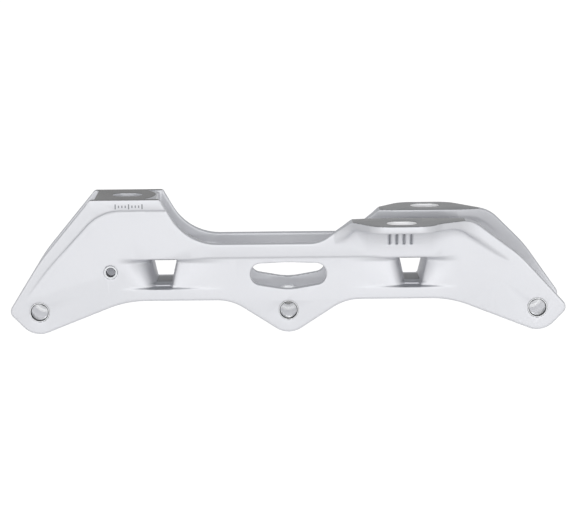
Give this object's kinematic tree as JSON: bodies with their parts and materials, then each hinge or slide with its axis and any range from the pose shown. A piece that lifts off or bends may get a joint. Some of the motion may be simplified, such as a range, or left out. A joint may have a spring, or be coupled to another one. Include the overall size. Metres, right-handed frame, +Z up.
{
  "type": "inline skate frame",
  "caption": "Cast aluminium inline skate frame with two side walls, a rear boot plate, staggered front ears, hollow cross bridges, turned axle bushes and brake inserts.",
  "frame": {"origin": "on the line that the three lobes stand on, under the middle axle, half way between the walls", "axes": "+X from heel to toe, +Y to the skater's left (the inner side of this right-foot frame), +Z up"},
  "size_m": [0.2723, 0.074, 0.066],
  "materials": {
    "cast_aluminium": "satin silver",
    "turned_steel": "turned",
    "plated_insert": "bright plated"
  },
  "bodies": {
    "root": {"frame_casting": "cast_aluminium", "rear_outer_bush": "turned_steel", "mid_outer_bush": "turned_steel", "front_outer_bush": "turned_steel", "rear_inner_bush": "turned_steel", "mid_inner_bush": "turned_steel", "front_inner_bush": "turned_steel", "outer_brake_insert": "plated_insert", "inner_brake_insert": "plated_insert"}
  },
  "joints": []
}
